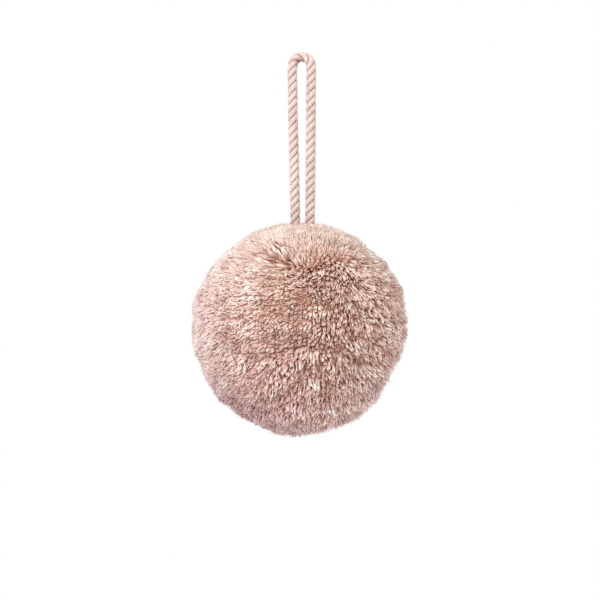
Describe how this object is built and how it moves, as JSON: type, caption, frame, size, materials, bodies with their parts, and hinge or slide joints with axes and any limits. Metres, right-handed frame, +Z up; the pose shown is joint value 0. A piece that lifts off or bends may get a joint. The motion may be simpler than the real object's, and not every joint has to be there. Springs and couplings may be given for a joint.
{
  "type": "pompom key tassel",
  "caption": "Trimmed ball of cut yarn hanging from a doubled loop of twisted cord, to hang on a key, hook or knob.",
  "frame": {"origin": "inside top of the cord loop, where a hook or key ring carries it", "axes": "+Z up along the loop, -Y towards the front, +X to the right"},
  "size_m": [0.107, 0.106, 0.1877],
  "materials": {
    "wool_pile": "matte cut yarn, dusty pink",
    "twisted_cord": "matte twisted cord, pale blush"
  },
  "bodies": {
    "root": {"pompom": "wool_pile", "loop_cord": "twisted_cord"}
  },
  "joints": []
}
